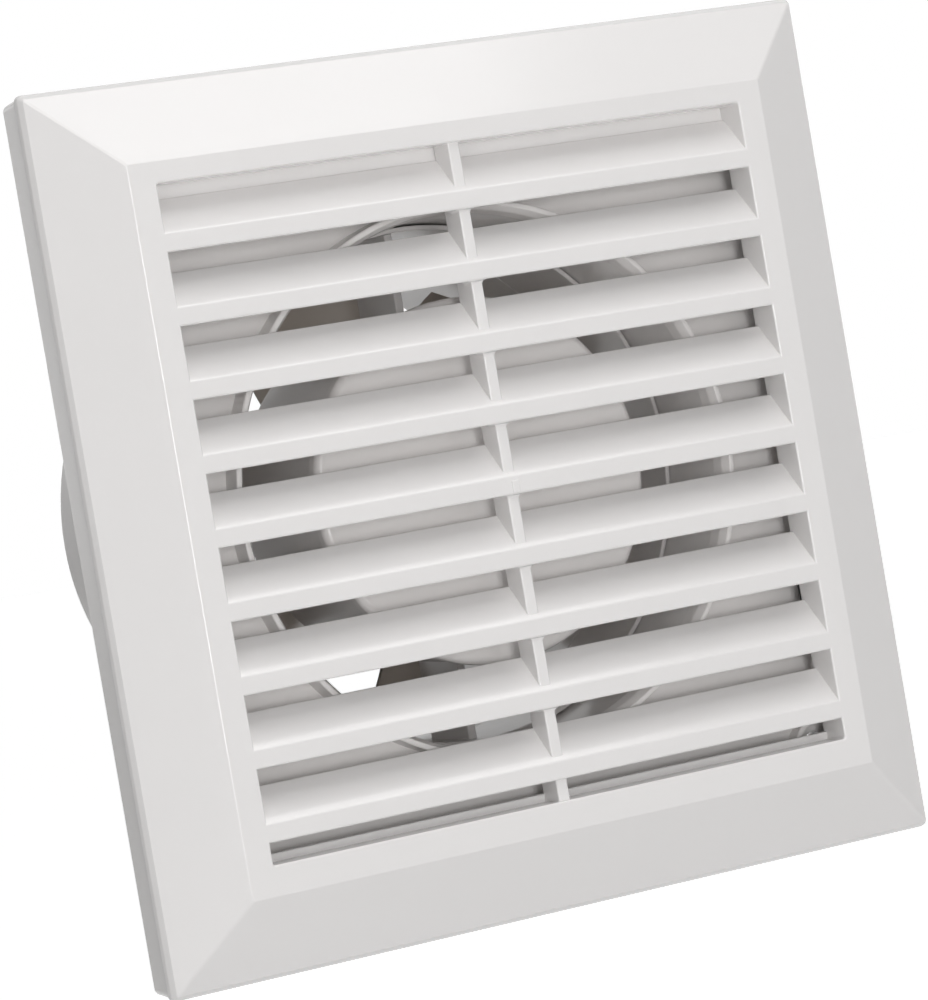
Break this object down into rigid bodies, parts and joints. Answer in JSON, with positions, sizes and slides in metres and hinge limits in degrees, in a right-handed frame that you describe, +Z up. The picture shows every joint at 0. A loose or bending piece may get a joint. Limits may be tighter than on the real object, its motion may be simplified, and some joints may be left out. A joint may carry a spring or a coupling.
{
  "type": "exhaust fan",
  "caption": "Wall or window exhaust fan: square louvred pull-off grille, base frame with a round duct spigot, motor pod on radial struts and an axial impeller.",
  "frame": {"origin": "centre of the base frame's wall face, on the duct's axis", "axes": "+Z up, +Y along the duct into the wall, so the grille faces -Y, +X to the right seen from the room"},
  "size_m": [0.1592, 0.0946, 0.1592],
  "materials": {
    "grille_white": "gloss white moulded plastic",
    "base_white": "semi-gloss white moulded plastic",
    "impeller_grey": "satin grey moulded plastic",
    "core_iron": "laminated electrical steel",
    "cast_metal": "die-cast metal",
    "steel": "bright steel",
    "bronze": "sintered bronze and brass",
    "copper": "enamelled copper",
    "black_nylon": "black nylon",
    "fibre": "fibre washer",
    "brown_insulation": "brown lead insulation",
    "blue_insulation": "blue lead insulation"
  },
  "bodies": {
    "housing": {"base_frame": "base_white", "motor_carrier": "base_white", "motor_cap": "grille_white", "stator_core": "core_iron", "core_bar": "core_iron", "coil_bobbin": "black_nylon", "coil_winding": "copper", "shading_ring_right": "copper", "shading_ring_left": "copper", "front_bracket": "cast_metal", "rear_bracket": "cast_metal", "front_bush": "bronze", "rear_bush": "bronze", "motor_screw_left": "steel", "motor_screw_right": "steel", "front_thrust_washer": "fibre", "rear_thrust_washer": "fibre", "terminal_block": "black_nylon", "terminal_screw_live": "bronze", "terminal_screw_neutral": "bronze", "cable_clamp": "base_white", "clamp_screw_left": "steel", "clamp_screw_right": "steel", "lead_live": "brown_insulation", "lead_neutral": "blue_insulation"},
    "grille": {"front_grille": "grille_white"},
    "spinner": {"rotor": "core_iron", "motor_shaft": "steel", "impeller": "impeller_grey", "impeller_clip": "steel"}
  },
  "joints": [
    {"name": "impeller_spin", "type": "hinge", "parent": "housing", "child": "spinner", "pos_m": [0, 0.03, 0], "axis": [0, 1, 0], "continuous": true},
    {"name": "grille_pull", "type": "slide", "parent": "housing", "child": "grille", "axis": [0, -1, 0], "range_m": [0, 0.04]}
  ]
}
